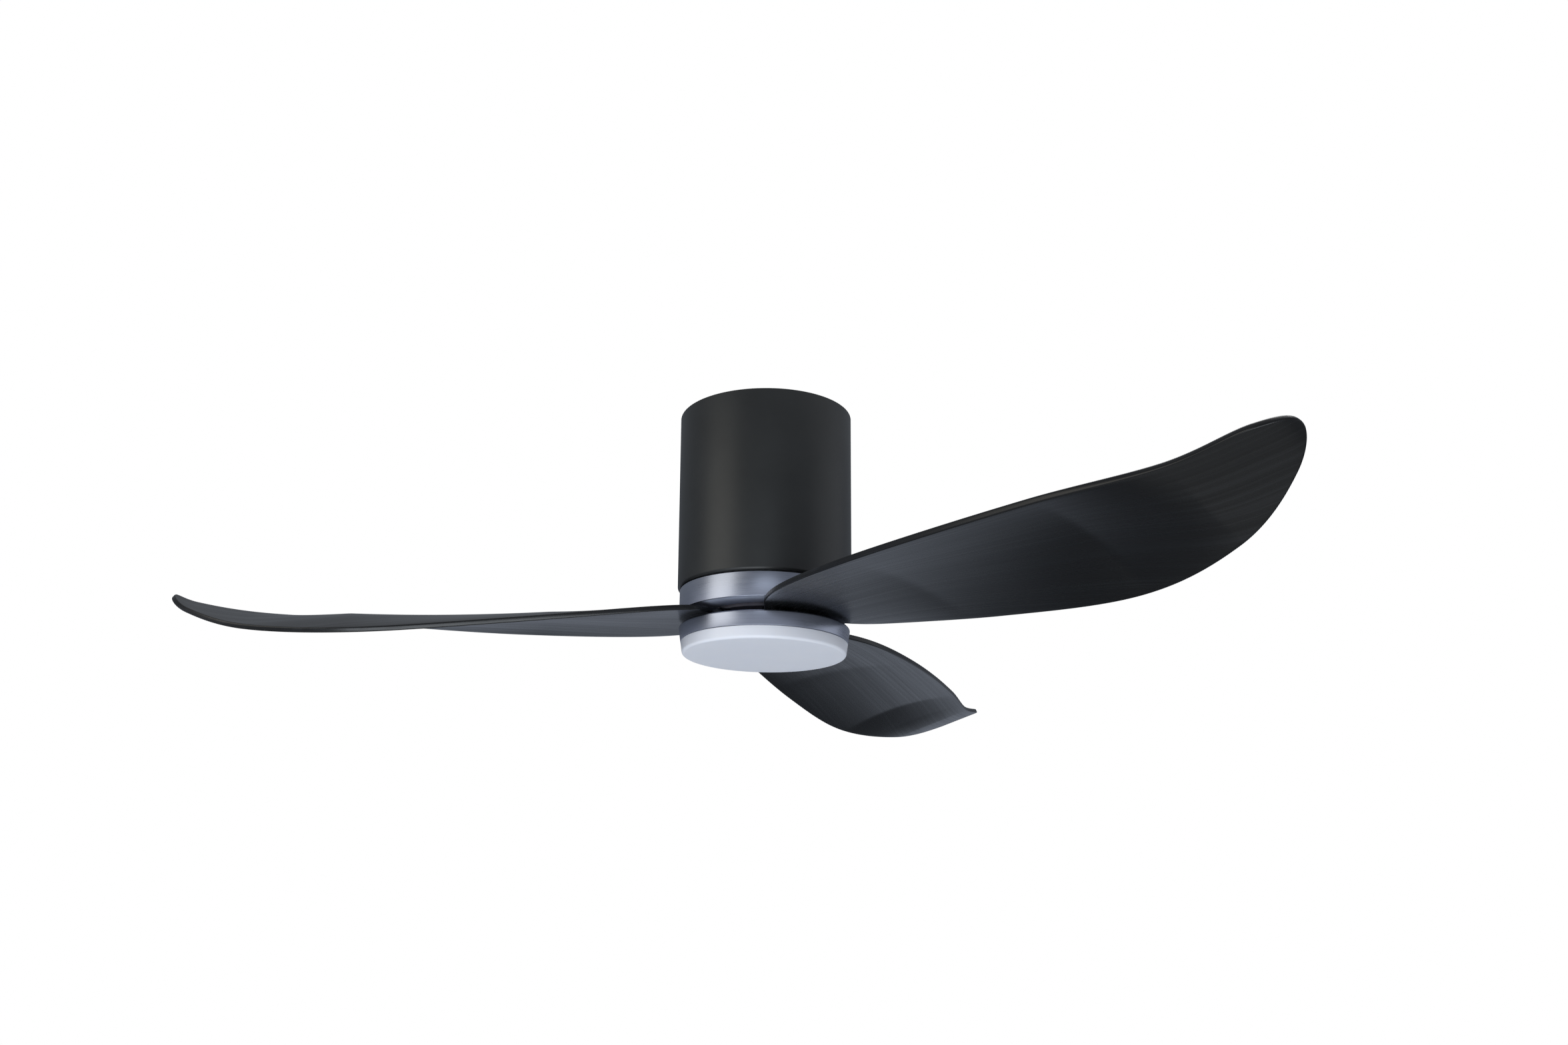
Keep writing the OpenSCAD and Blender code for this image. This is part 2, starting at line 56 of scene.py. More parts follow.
def new_mat(name):
    m = bpy.data.materials.new(name)
    m.use_nodes = True
    nt = m.node_tree
    return m, nt, nt.nodes["Principled BSDF"]


def coords(nt, kind, stretch):
    tc = nt.nodes.new("ShaderNodeTexCoord")
    mp = nt.nodes.new("ShaderNodeMapping")
    mp.inputs["Scale"].default_value = stretch
    nt.links.new(tc.outputs[kind], mp.inputs["Vector"])
    return mp.outputs["Vector"]


def noise(nt, vec, scale, detail=4.0, rough=0.55, distort=0.0):
    n = nt.nodes.new("ShaderNodeTexNoise")
    n.inputs["Scale"].default_value = scale
    n.inputs["Detail"].default_value = detail
    n.inputs["Roughness"].default_value = rough
    n.inputs["Distortion"].default_value = distort
    nt.links.new(vec, n.inputs["Vector"])
    return n.outputs["Fac"]


def ramp(nt, fac, stops):
    r = nt.nodes.new("ShaderNodeValToRGB")
    while len(r.color_ramp.elements) < len(stops):
        r.color_ramp.elements.new(0.5)
    for e, (p, c) in zip(r.color_ramp.elements, stops):
        e.position = p
        e.color = (c[0], c[1], c[2], 1) if hasattr(c, "__len__") else (c, c, c, 1)
    nt.links.new(fac, r.inputs["Fac"])
    return r.outputs["Color"]


def remap(nt, fac, a, b, lo=0.3, hi=0.7):
    r = nt.nodes.new("ShaderNodeMapRange")
    r.inputs["From Min"].default_value = lo
    r.inputs["From Max"].default_value = hi
    r.inputs["To Min"].default_value = a
    r.inputs["To Max"].default_value = b
    nt.links.new(fac, r.inputs["Value"])
    return r.outputs["Result"]


def math_node(nt, op, a, b):
    n = nt.nodes.new("ShaderNodeMath")
    n.operation = op
    for i, v in enumerate((a, b)):
        if isinstance(v, (int, float)):
            n.inputs[i].default_value = v
        else:
            nt.links.new(v, n.inputs[i])
    return n.outputs[0]


def bump(nt, bsdf, height, strength, distance):
    b = nt.nodes.new("ShaderNodeBump")
    b.inputs["Strength"].default_value = strength
    b.inputs["Distance"].default_value = distance
    nt.links.new(height, b.inputs["Height"])
    nt.links.new(b.outputs["Normal"], bsdf.inputs["Normal"])


def surface(name, dark, light, stretch=(1, 1, 1), scale=60.0, rough=(0.4, 0.6), metal=0.0,
            spec=0.5, grain=400.0, grain_stretch=(1, 1, 1), relief=0.15, depth=0.0002, coat=0.0):
    """A two-tone mottled surface with its own roughness changes and a fine relief."""
    m, nt, b = new_mat(name)
    f = noise(nt, coords(nt, "Object", stretch), scale)
    nt.links.new(ramp(nt, f, [(0.3, dark), (0.7, light)]), b.inputs["Base Color"])
    g = noise(nt, coords(nt, "Object", grain_stretch), grain, 3.0)
    nt.links.new(remap(nt, g, rough[0], rough[1]), b.inputs["Roughness"])
    b.inputs["Metallic"].default_value = metal
    b.inputs["Specular IOR Level"].default_value = spec
    b.inputs["Coat Weight"].default_value = coat
    bump(nt, b, g, relief, depth)
    return m


def blade_material():
    """Near-black moulding with a brushed wood-like grain that runs along the blade. UVs are in metres."""
    m, nt, b = new_mat("blade_grain")
    broad = noise(nt, coords(nt, "UV", (0.8, 30, 1)), 1.0, 5.0, 0.55, 0.35)
    fine = noise(nt, coords(nt, "UV", (2.0, 300, 1)), 1.0, 4.0, 0.6, 0.15)
    pore = noise(nt, coords(nt, "UV", (10.0, 1300, 1)), 1.0, 2.0, 0.5, 0.0)
    mix = math_node(nt, "ADD", math_node(nt, "MULTIPLY", broad, 0.45),
                    math_node(nt, "MULTIPLY", fine, 0.55))
    nt.links.new(ramp(nt, mix, [(0.38, (0.0020, 0.0023, 0.0027)), (0.5, (0.0045, 0.0050, 0.0056)),
                                (0.64, (0.0125, 0.0135, 0.0150))]), b.inputs["Base Color"])
    nt.links.new(remap(nt, mix, 0.32, 0.22, 0.35, 0.65), b.inputs["Roughness"])
    b.inputs["Specular IOR Level"].default_value = 0.40
    h = math_node(nt, "ADD", math_node(nt, "MULTIPLY", fine, 0.9), math_node(nt, "MULTIPLY", pore, 0.1))
    bump(nt, b, h, 0.06, 0.00030)
    return m


def brushed_ring():
    """Satin blue-grey metal with fine turning lines round the axis."""
    m, nt, b = new_mat("silver_satin")
    lines = noise(nt, coords(nt, "Object", (3, 3, 2600)), 1.0, 3.0, 0.6)
    cloud = noise(nt, coords(nt, "Object", (1, 1, 1)), 26.0, 3.0, 0.5)
    both = math_node(nt, "ADD", math_node(nt, "MULTIPLY", lines, 0.6), math_node(nt, "MULTIPLY", cloud, 0.4))
    tint = ramp(nt, both, [(0.35, (0.34, 0.37, 0.45)), (0.65, (0.44, 0.47, 0.56))])
    nt.links.new(tint, b.inputs["Base Color"])
    nt.links.new(remap(nt, both, 0.24, 0.36), b.inputs["Roughness"])
    b.inputs["Metallic"].default_value = 1.0
    b.inputs["Anisotropic"].default_value = 0.55
    t = nt.nodes.new("ShaderNodeTangent")
    t.direction_type = "RADIAL"
    t.axis = "Z"
    nt.links.new(t.outputs["Tangent"], b.inputs["Tangent"])
    bump(nt, b, lines, 0.10, 0.00006)
    return m


def opal():
    """Frosted polycarbonate: soft, slightly cloudy, a little light passes into it."""
    m, nt, b = new_mat("opal_polycarbonate")
    cloud = noise(nt, coords(nt, "Object", (1, 1, 1)), 18.0, 4.0, 0.5)
    tint = ramp(nt, cloud, [(0.3, (0.85, 0.88, 0.98)), (0.7, (0.88, 0.905, 0.99))])
    nt.links.new(tint, b.inputs["Base Color"])
    fine = noise(nt, coords(nt, "Object", (1, 1, 1)), 1500.0, 2.0, 0.5)
    nt.links.new(remap(nt, fine, 0.34, 0.46), b.inputs["Roughness"])
    b.inputs["Subsurface Weight"].default_value = 0.35
    b.inputs["Subsurface Radius"].default_value = (0.9, 1.0, 1.1)
    b.inputs["Subsurface Scale"].default_value = 0.004
    b.inputs["IOR"].default_value = 1.50
    bump(nt, b, fine, 0.04, 0.00004)
    return m


def winding():
    """Enamelled copper: round wires laid side by side."""
    m, nt, b = new_mat("copper_winding")
    w = nt.nodes.new("ShaderNodeTexWave")
    w.wave_type = "RINGS"
    w.rings_direction = "Z"
    w.inputs["Scale"].default_value = 210.0
    w.inputs["Distortion"].default_value = 0.4
    nt.links.new(coords(nt, "Object", (1, 1, 1)), w.inputs["Vector"])
    f = w.outputs["Fac"]
    tint = ramp(nt, f, [(0.0, (0.12, 0.035, 0.012)), (1.0, (0.62, 0.24, 0.09))])
    nt.links.new(tint, b.inputs["Base Color"])
    nt.links.new(remap(nt, f, 0.42, 0.22, 0.0, 1.0), b.inputs["Roughness"])
    b.inputs["Metallic"].default_value = 0.8
    bump(nt, b, f, 0.5, 0.0004)
    return m


MATS = {
    "canopy_paint": surface("canopy_paint", (0.0165, 0.0178, 0.0178), (0.0205, 0.0220, 0.0221), scale=24,
                            rough=(0.38, 0.46), grain=1400, relief=0.10, depth=0.00012, spec=0.45),
    "screw_dark": surface("screw_dark", (0.02, 0.02, 0.022), (0.05, 0.05, 0.055), scale=900,
                          rough=(0.35, 0.5), metal=0.6, grain=1800, relief=0.08),
    "zinc_steel": surface("zinc_steel", (0.42, 0.43, 0.45), (0.60, 0.61, 0.62), scale=70,
                          rough=(0.28, 0.45), metal=1.0, grain=260, relief=0.06, depth=0.0001),
    "screw_steel": surface("screw_steel", (0.50, 0.50, 0.51), (0.68, 0.68, 0.69), scale=700,
                           rough=(0.22, 0.38), metal=1.0, grain=1500, relief=0.05, depth=0.0001),
    "white_plastic": surface("white_plastic", (0.70, 0.70, 0.66), (0.78, 0.78, 0.75), scale=40,
                             rough=(0.42, 0.55), grain=1200, relief=0.08, depth=0.0001),
    "black_plastic": surface("black_plastic", (0.010, 0.010, 0.011), (0.018, 0.018, 0.020), scale=60,
                             rough=(0.45, 0.62), grain=1300, relief=0.16, depth=0.0001),
    "pcb": surface("pcb", (0.010, 0.09, 0.04), (0.02, 0.17, 0.075), stretch=(3, 1, 1), scale=320,
                   rough=(0.25, 0.4), grain=500, relief=0.1, depth=0.0001, coat=0.3),
    "components": surface("components", (0.015, 0.015, 0.018), (0.05, 0.05, 0.06), scale=200,
                          rough=(0.2, 0.35), grain=700, relief=0.05),
    "shaft_steel": surface("shaft_steel", (0.48, 0.48, 0.50), (0.62, 0.62, 0.64), stretch=(1, 1, 40), scale=40,
                           rough=(0.18, 0.30), metal=1.0, grain=60, grain_stretch=(1, 1, 40), relief=0.05,
                           depth=0.00005),
    "cast_aluminium": surface("cast_aluminium", (0.46, 0.47, 0.48), (0.62, 0.63, 0.64), scale=90,
                              rough=(0.42, 0.60), metal=1.0, grain=520, relief=0.22, depth=0.0002),
    "lamination": surface("lamination", (0.10, 0.10, 0.105), (0.24, 0.24, 0.25), stretch=(1, 1, 90), scale=24,
                          rough=(0.38, 0.55), metal=0.9, grain=24, grain_stretch=(1, 1, 90), relief=0.3,
                          depth=0.0002),
    "insulator": surface("insulator", (0.60, 0.55, 0.40), (0.74, 0.69, 0.55), scale=50, rough=(0.4, 0.55),
                         grain=900, relief=0.08),
    "copper": winding(),
    "bearing_steel": surface("bearing_steel", (0.58, 0.58, 0.60), (0.74, 0.74, 0.76), scale=300,
                             rough=(0.10, 0.18), metal=1.0, grain=1200, relief=0.02, depth=0.00005),
    "magnet": surface("magnet", (0.05, 0.05, 0.055), (0.11, 0.11, 0.115), scale=260, rough=(0.45, 0.6),
                      metal=0.4, grain=900, relief=0.2, depth=0.0001),
    "silver_ring": brushed_ring(),
    # The black hub casting gets a mid-grey base colour: partly the hub's own grey, partly painted light that
    # lifts the shaded neck between the trim ring and the light pan.
    "hub_black": surface("hub_black", (0.150, 0.140, 0.155), (0.190, 0.178, 0.195), scale=120,
                         rough=(0.40, 0.55), metal=0.2, grain=700, relief=0.2, depth=0.00015),
    "pad_rubber": surface("pad_rubber", (0.008, 0.008, 0.008), (0.016, 0.016, 0.016), scale=300,
                          rough=(0.7, 0.85), grain=1400, relief=0.2, depth=0.0001),
    "blade_black": blade_material(),
    "led_white": surface("led_white", (0.78, 0.78, 0.76), (0.86, 0.86, 0.85), scale=80, rough=(0.35, 0.5),
                         grain=600, relief=0.05, depth=0.0001),
    "led_phosphor": surface("led_phosphor", (0.80, 0.62, 0.16), (0.92, 0.78, 0.32), scale=900,
                            rough=(0.2, 0.3), grain=2000, relief=0.05, depth=0.00005),
    "wire_white": surface("wire_white", (0.62, 0.62, 0.60), (0.74, 0.74, 0.72), scale=200,
                          rough=(0.45, 0.6), grain=900, relief=0.1, depth=0.0001),
    "wire_red": surface("wire_red", (0.35, 0.03, 0.025), (0.48, 0.06, 0.045), scale=200,
                        rough=(0.45, 0.6), grain=900, relief=0.1, depth=0.0001),
    "opal": opal(),
    "cable_steel": surface("cable_steel", (0.32, 0.32, 0.33), (0.56, 0.56, 0.57), stretch=(1, 1, 3), scale=500,
                           rough=(0.3, 0.45), metal=1.0, grain=700, grain_stretch=(1, 1, 3), relief=0.5,
                           depth=0.0003),
}

# The neck cover's finish: the ring's metal, duller and lighter than the ring, as painted light that lifts the
# shaded recess under the trim ring.
NECK_PLATE_PAINTED_LIGHT = surface("silver_neck_painted_light", (0.44, 0.48, 0.60), (0.54, 0.58, 0.71), scale=60, rough=(0.42, 0.55),
                      metal=0.35, grain=900, relief=0.12, depth=0.0001)

slots = {s["node"]: s["material_slot"] for s in frame["record"]["subparts"]}
for node, obj in frame["nodes"].items():
    mat = MATS[slots[node]]
    if not obj.material_slots:
        obj.data.materials.append(mat)
    for s in obj.material_slots:
        s.material = mat

# ---------------------------------------------------------------- mesh helpers


def make(name, verts, faces, mat, sharp=32, uvs=None):
    me = bpy.data.meshes.new(name)
    me.from_pydata([tuple(v) for v in verts], [], faces)
    me.validate()
    if uvs is not None:
        layer = me.uv_layers.new(name="UVMap")
        idx = np.empty(len(me.loops), int)
        me.loops.foreach_get("vertex_index", idx)
        layer.data.foreach_set("uv", np.asarray(uvs, float)[idx].ravel())
    me.polygons.foreach_set("use_smooth", [True] * len(me.polygons))
    me.set_sharp_from_angle(angle=math.radians(sharp))
    me.materials.append(mat)
    ob = bpy.data.objects.new(name, me)
    bpy.context.scene.collection.objects.link(ob)
    return ob


def arc(cx, cz, r, a0, a1, n=8):
    return [(cx + r * math.cos(math.radians(a0 + (a1 - a0) * i / n)),
             cz + r * math.sin(math.radians(a0 + (a1 - a0) * i / n))) for i in range(n + 1)]


def lathe(profile, n=288):
    """Verts and faces of a closed (r, z) profile in mm turned about Z. Points with r 0 become one vertex."""
    verts, rings, faces = [], [], []
    for r, z in profile:
        if r <= 1e-9:
            rings.append([len(verts)] * n)
            verts.append((0, 0, z * MM))
        else:
            rings.append(list(range(len(verts), len(verts) + n)))
            a = np.arange(n) * 2 * math.pi / n
            verts += [(r * MM * math.cos(t), r * MM * math.sin(t), z * MM) for t in a]
    for k in range(len(rings)):
        a, b = rings[k], rings[(k + 1) % len(rings)]
        for i in range(n):
            j = (i + 1) % n
            f = []
            for v in (a[i], a[j], b[j], b[i]):
                if v not in f:
                    f.append(v)
            if len(f) > 2:
                faces.append(f)
    return verts, faces


def sector(r0, r1, z0, z1, a0, a1, n=10):
    """A block of a ring, in mm and degrees."""
    verts, faces = [], []
    for i in range(n + 1):
        t = math.radians(a0 + (a1 - a0) * i / n)
        for r, z in ((r0, z0), (r1, z0), (r1, z1), (r0, z1)):
            verts.append((r * MM * math.cos(t), r * MM * math.sin(t), z * MM))
    for i in range(n):
        for k in range(4):
            a, b = i * 4 + k, i * 4 + (k + 1) % 4
            faces.append([a, b, b + 4, a + 4])
    faces.append([3, 2, 1, 0])
    faces.append([n * 4 + k for k in range(4)])
    return verts, faces


def join(*parts):
    verts, faces = [], []
    for v, f in parts:
        base = len(verts)
        verts += list(v)
        faces += [[i + base for i in q] for q in f]
    return verts, faces


def piece(name, geo, slot, body, *nodes, sharp=32, uvs=None, mat=None):
    ob = make(name, geo[0], geo[1], mat or MATS[slot], sharp, uvs)
    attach(ob, body)
    if nodes:
        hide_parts(*nodes)


# ---------------------------------------------------------------- hub pieces, turned

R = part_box("canopy")[1].x / MM
H = -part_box("canopy")[0].z / MM
TAPER = 1.5
R_LOW = R - TAPER
canopy = [(R - 2, 0), (R - 0.4, 0)] + arc(R - 0.4, -0.4, 0.4, 90, 0, 3)[1:] \
    + arc(R_LOW - 3, -H + 3, 3, 0, -90, 10) + [(R_LOW - 3.5, -H)] \
    + arc(R_LOW - 3.5, -H + 0.2, 0.2, 270, 180, 2) \
    + [(R_LOW - 3.7, -H + 1.7)] + arc(R_LOW - 3.4, -H + 1.7, 0.3, 180, 90, 2) + [(R_LOW - 2, -H + 2.2)]
piece("canopy_shell", lathe(canopy), "canopy_paint", "housing", "canopy", sharp=50)

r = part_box("upper_ring")[1].x / MM
zt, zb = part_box("upper_ring")[1].z / MM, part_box("upper_ring")[0].z / MM
web_top, web_low, web_r = -205, -206.6, 76.5
ring = [(web_r, web_low), (web_r, web_top), (r - 1.6, web_top)] + arc(r - 0.8, zt - 0.8, 0.8, 180, 0, 10) \
    + arc(r - 0.5, zb + 0.5, 0.5, 0, -90, 4) + arc(r - 1.2, zb + 0.4, 0.4, -90, -180, 4) \
    + [(r - 1.6, web_low)]
piece("upper_trim_ring", lathe(ring), "silver_ring", "rotor", "upper_ring", sharp=50)

neck = [(62.2, -229.6), (62.2, -227.8), (r - 3.4, -227.8), (r - 3.4, -216), (r - 1.7, -216)] \
    + arc(r - 2.1, -229.2, 0.4, 0, -90, 3)
# The neck cover wears the lighter plate finish: painted light in the shaded recess under the ring.
piece("neck_cover_plate", lathe(neck), "silver_ring", "rotor", "neck_cover", sharp=50, mat=NECK_PLATE_PAINTED_LIGHT)

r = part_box("light_pan")[1].x / MM
zt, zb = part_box("light_pan")[1].z / MM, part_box("light_pan")[0].z / MM
pan = [(8.2, zt - 1.5), (8.2, zt)] + arc(r - 2, zt - 2, 2, 90, 0, 10) \
    + arc(r - 2.35, zb + 0.4, 0.4, 0, -90, 4) + arc(r - 3.2, zb + 0.3, 0.3, -90, -180, 3) \
    + arc(r - 4.5, zt - 2.5, 1, 0, 90, 4)
tabs = [sector(r - 5.7, r - 3.3, -260.3, -258.8, a - 7, a + 7) for a in (0, 120, 240)]
piece("light_pan_turned", join(lathe(pan), *tabs), "silver_ring", "housing", "light_pan", sharp=50)

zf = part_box("diffuser")[0].z / MM
rt, rb, rs, c = r - 2.3, r - 3.6, r - 6.1, 3.5
top = zb - 0.3
diff = [(0, zf), (30, zf), (60, zf)] + arc(rb - c, zf + c, c, -90, 0, 12) \
    + arc(rt - 0.4, top - 0.4, 0.4, 0, 90, 4) + [(rs, top), (rs, -256.7)] + arc(rs - 0.2, -256.7, 0.2, 0, 90, 2) \
    + [(rs - 1.9, -256.5), (rs - 1.9, top - 1.5), (rt - 2.2, top - 1.5)] \
    + arc(rb - c, zf + c, c - 2, 0, -90, 6) + [(0, zf + 2)]
lugs = [sector(rs - 0.1, rs + 1.8, -258.5, -256.5, a - 7, a + 7) for a in (0, 120, 240)]
piece("diffuser_opal", join(lathe(diff), *lugs), "opal", "lamp_cover", "diffuser", sharp=45)

# ---------------------------------------------------------------- blades

# Edge stations in mm, from the leading edge at the root to the tip and back along the trailing edge.
# They are the rounded result of a curve fit and were not chosen by hand, apart from the root's -96 and 70
# and the -280.7.
EDGE_Y = [-96, -119, -123, -120, -124, -102, -69, -20, 31, 56, 70]
EDGE_Z = [-237, -238, -236, -236, -228, -225, -248, -273, -280.7, -265, -237]
ROOT_X = 64.0
T = 5.6
BOW = 10.0
SWEEP = 1317.0
# How round the edge is, and how many rows of points the edge and the middle have.
EDGE_R, EDGE_POWER = 1.3, 3.0
RIM_STEPS, MID_STEPS = 7, 34
TIP_X = math.sqrt((SWEEP / 2) ** 2 - EDGE_Y[5] ** 2)


def pick(v, i):
    if i < 0:
        return 2 * v[0] - v[1]
    if i > len(v) - 1:
        return 2 * v[-1] - v[-2]
    return v[i]


def curve(v, t):
    i = int(min(math.floor(t), len(v) - 2))
    f = t - i
    a, b, c, d = (pick(v, i + k) for k in (-1, 0, 1, 2))
    return b + 0.5 * f * (c - a + f * (2 * a - 5 * b + 4 * c - d + f * (3 * (b - c) + d - a)))


def edges(u):
    x = ROOT_X + (TIP_X - ROOT_X) * (1 - (1 - u) ** 2)
    le = curve(EDGE_Y, 5 * u) + 38 * math.exp((ROOT_X - x) / 45)
    te = curve(EDGE_Y, 10 - 5 * u) - 28 * math.exp((ROOT_X - x) / 20)
    return np.array([x, le, curve(EDGE_Z, 5 * u)]), np.array([x, te, curve(EDGE_Z, 10 - 5 * u)])


def blade_rows():
    """(leading edge point, trailing edge point) of each row, from the tang to the tip."""
    rows = [((27, -30), (27, 27)), ((36, -36.2), (36, 32)), ((46, -43.1), (46, 37.5)), ((56, -50), (56, 42)),
            ((60, -54), (60, 42))]
    rows = [(np.array([a[0], a[1], -237.0]), np.array([b[0], b[1], -237.0])) for a, b in rows]
    n = 150
    return rows + [edges(i / n) for i in range(n + 1)]


def blade_grid(rows):
    """Middle surface of the blade as a grid of points, and each point's distance along its row's chord."""
    w = np.linspace(0, math.pi / 2, RIM_STEPS + 1)
    near_edge = EDGE_R * (1 - np.cos(w) ** (2 / EDGE_POWER))
    grid, cut = [], []
    for a, b in rows:
        c = np.linalg.norm(b - a)
        d = near_edge * min(1.0, c / (2.6 * EDGE_R))
        inner = np.linspace(d[-1], c - d[-1], MID_STEPS + 1)[1:-1]
        s = np.concatenate([d, inner, c - d[::-1]]) / max(c, 1e-6)
        grown_in = min(1, max(0, a[0] - ROOT_X) / 170)
        faded_out = max(0, min(1, (560 - a[0]) / 110))
        bow = BOW * min(1, c / 130) * grown_in * faded_out
        ey = (b - a) / max(c, 1e-6)
        up = np.array([0, -ey[2], ey[1]])
        grid.append(a + np.outer(s, b - a) + np.outer(4 * s * (1 - s) * bow, up))
        cut.append(s * c)
    return np.array(grid), cut


def blade_normals(g, rows):
    tu = np.gradient(g, axis=0)
    tu[-1] = tu[-2]
    tv = np.gradient(g, axis=1)
    tv[-1] = tv[-2]
    nrm = np.cross(tu, tv)
    nrm /= np.maximum(np.linalg.norm(nrm, axis=2, keepdims=True), 1e-9)
    # The rows at the very tip are too short to give a normal of their own, so they take the last long row's.
    chord = [np.linalg.norm(b - a) for a, b in rows]
    last_long = max(i for i, c in enumerate(chord) if c >= 8)
    nrm[last_long + 1:] = nrm[last_long, g.shape[1] // 2]
    return nrm


def outline_distance(g, rows):
    """Distance of each grid point from the blade's outline."""
    outline = np.concatenate([np.array([r[0] for r in rows]), np.array([r[1] for r in rows])[::-1]])
    a, b = outline[:-1], outline[1:]
    ab = b - a
    flat = g.reshape(-1, 3)
    dist = np.full(len(flat), 1e9)
    for i in range(len(a)):
        l2 = ab[i] @ ab[i]
        t = np.clip((flat - a[i]) @ ab[i] / max(l2, 1e-12), 0, 1)
        dist = np.minimum(dist, np.linalg.norm(flat - a[i] - t[:, None] * ab[i], axis=1))
    dist = dist.reshape(g.shape[:2])
    dist[:, 0] = dist[:, -1] = 0
    return dist


def blade_mesh():
    """A shell of even thickness round the middle surface, rounded off along its whole outline."""
    rows = blade_rows()
    g, cut = blade_grid(rows)
    nu, nv = g.shape[:2]
    nrm = blade_normals(g, rows)
    q = np.clip(1 - outline_distance(g, rows) / EDGE_R, 0, 1)
    h = T / 2 * (1 - q ** EDGE_POWER) ** (1 / EDGE_POWER)
    h[-1] = 0
    top, low = g + nrm * h[..., None], g - nrm * h[..., None]
    span = np.concatenate([[0], np.cumsum(np.linalg.norm(np.diff(g[:, nv // 2], axis=0), axis=1))])
    verts, uvs, top_i, low_i = [], [], np.zeros((nu, nv), int), np.zeros((nu, nv), int)
    for side, idx, off in ((top, top_i, 0.0), (low, low_i, 0.7)):
        for i in range(nu):
            for j in range(nv):
                welded = j in (0, nv - 1) or i == nu - 1
                if side is low and welded:
                    idx[i, j] = top_i[i, j]
                    continue
                idx[i, j] = len(verts)
                verts.append(side[i, j] * MM)
                uvs.append((span[i] * MM + off, g[i, j, 1] * MM * 0.6 + cut[i][j] * MM * 0.4))
    faces = []
    for i in range(nu - 1):
        for j in range(nv - 1):
            for idx, flip in ((top_i, False), (low_i, True)):
                f = [idx[i, j], idx[i + 1, j], idx[i + 1, j + 1], idx[i, j + 1]]
                f = [v for k, v in enumerate(f) if v not in f[:k]]
                if len(f) > 2:
                    faces.append([int(v) for v in (f[::-1] if flip else f)])
    faces.append([int(v) for v in top_i[0]] + [int(v) for v in low_i[0][-2:0:-1]])
    return verts, faces, uvs


bv, bf, buv = blade_mesh()
for k in range(3):
    rot = Matrix.Rotation(math.radians(-48 + 120 * k), 4, "Z")
    turned = [rot @ Vector(v) for v in bv]
    uv = [(u + 1.9 * k, v + 0.31 * k) for u, v in buv]
    piece(f"blade_moulded_{k + 1}", (turned, bf), "blade_black", "rotor", f"blade_{k + 1}", sharp=60, uvs=uv)

# ---------------------------------------------------------------- stage, light, camera

scene = bpy.context.scene
floor_v, floor_f = lathe([(0, -2600), (1900, -2600), (1900, -2610), (0, -2610)], 96)
floor = make("pale_floor", floor_v, floor_f,
             surface("floor_pale", (0.78, 0.78, 0.77), (0.84, 0.84, 0.83), scale=3, rough=(0.6, 0.8), grain=60,
                     relief=0.05))


def area(name, loc, target, size, power, color=(1, 1, 1)):
    """A rectangular light that points at a target."""
    d = bpy.data.lights.new(name, "AREA")
    d.shape = "RECTANGLE"
    d.size, d.size_y = size
    d.energy = power
    d.color = color
    o = bpy.data.objects.new(name, d)
    o.location = loc
    o.rotation_mode = "QUATERNION"
    o.rotation_quaternion = (Vector(target) - Vector(loc)).to_track_quat("-Z", "Y")
    scene.collection.objects.link(o)


# A dim studio: a warm light at the left for the bright band on the rings, a broad soft light low in front for
# the diffuser and the blades' undersides, weak lights in front and at the right, and one from above.
area("left_strip", (-2.12, -1.325, 0.40), (0, 0, -0.2), (1.7, 1.6), 13, (1.0, 0.96, 0.86))
area("front_soft", (0.10, -2.6, 0.42), (0, 0, -0.2), (1.2, 0.5), 1.7, (0.88, 0.94, 1.0))
area("low_front", (-0.4, -1.9, -2.0), (0, 0, -0.25), (2.2, 1.5), 40, (0.88, 0.94, 1.0))
area("right_strip", (2.4, 0.1, 0.35), (0, 0, -0.2), (2.2, 1.5), 4.5, (0.95, 0.97, 1.0))
area("top", (0.4, 0.4, 1.8), (0, 0, 0), (1.6, 1.6), 30)

world = bpy.data.worlds.new("studio")
scene.world = world
world.use_nodes = True
wt = world.node_tree
bg = wt.nodes["Background"]
tc = wt.nodes.new("ShaderNodeTexCoord")
sep = wt.nodes.new("ShaderNodeSeparateXYZ")
wt.links.new(tc.outputs["Generated"], sep.inputs[0])
height = remap(wt, sep.outputs["Z"], 0.0, 1.0, -1.0, 1.0)
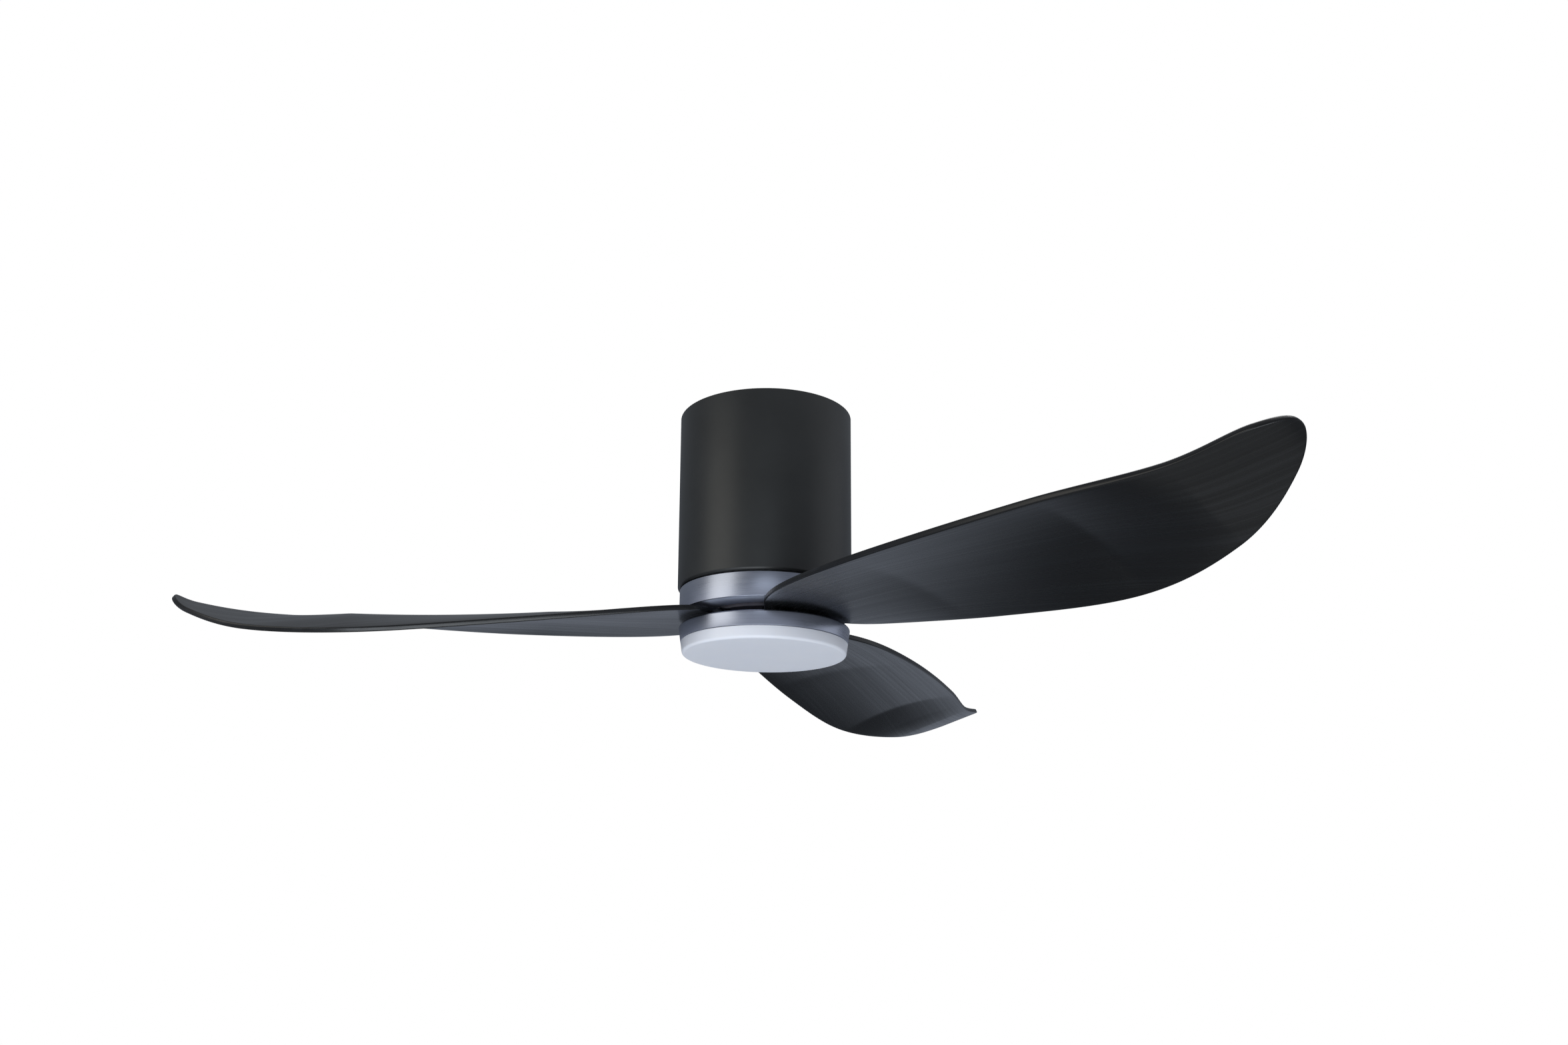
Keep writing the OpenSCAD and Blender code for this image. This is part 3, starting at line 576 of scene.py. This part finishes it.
# What the glossy surfaces reflect, by height: a lit backdrop low behind the fan, and a dim room in front of it.
behind = ramp(wt, height, [
    (0.0, (0.10, 0.105, 0.12)), (0.175, (0.015, 0.017, 0.02)), (0.225, (0.03, 0.034, 0.04)),
    (0.275, (0.20, 0.22, 0.26)), (0.33, (0.35, 0.39, 0.46)), (0.46, (0.39, 0.43, 0.52)),
    (0.53, (0.17, 0.18, 0.21)), (0.65, (0.18, 0.20, 0.23)), (1.0, (0.30, 0.31, 0.33))])
ahead_of = ramp(wt, height, [
    (0.0, (0.20, 0.21, 0.23)), (0.35, (0.44, 0.46, 0.50)), (0.57, (0.36, 0.38, 0.43)),
    (0.67, (0.13, 0.14, 0.16)), (1.0, (0.34, 0.35, 0.38))])
side = wt.nodes.new("ShaderNodeMix")
side.data_type = "RGBA"
wt.links.new(remap(wt, sep.outputs["Y"], 0.0, 1.0, -0.1, 0.45), side.inputs["Factor"])
wt.links.new(ahead_of, side.inputs["A"])
wt.links.new(behind, side.inputs["B"])
lp = wt.nodes.new("ShaderNodeLightPath")
seen = wt.nodes.new("ShaderNodeMix")
seen.data_type = "RGBA"
wt.links.new(lp.outputs["Is Camera Ray"], seen.inputs["Factor"])
wt.links.new(side.outputs["Result"], seen.inputs["A"])
seen.inputs["B"].default_value = (1, 1, 1, 1)
wt.links.new(seen.outputs["Result"], bg.inputs["Color"])
bg.inputs["Strength"].default_value = 1.0

scene.view_settings.view_transform = "Standard"
scene.view_settings.look = "None"

# The camera stands below and in front of the fan and looks up. Its axis meets the picture off centre.
# Its lens, shift, place and angles come from a fit to the photo.
cam_d = bpy.data.cameras.new("camera")
cam_d.sensor_width = 36.0
cam_d.lens = 30.5
cam_d.shift_x = 0.0986
cam_d.shift_y = -0.0013
cam_d.clip_start, cam_d.clip_end = 0.01, 100
cam = bpy.data.objects.new("camera", cam_d)
yaw, tilt, roll = math.radians(-6.11), math.radians(17.94), math.radians(2.36)
ahead = Vector((math.sin(yaw) * math.cos(tilt), math.cos(yaw) * math.cos(tilt), math.sin(tilt)))
right = Vector((math.cos(yaw), -math.sin(yaw), 0))
up = right.cross(ahead)
r2 = math.cos(roll) * right + math.sin(roll) * up
u2 = -math.sin(roll) * right + math.cos(roll) * up
rot = Matrix((r2, u2, -ahead)).transposed().to_4x4()
cam.matrix_world = Matrix.Translation((0, -1.421, -0.583)) @ rot
scene.collection.objects.link(cam)
scene.camera = cam
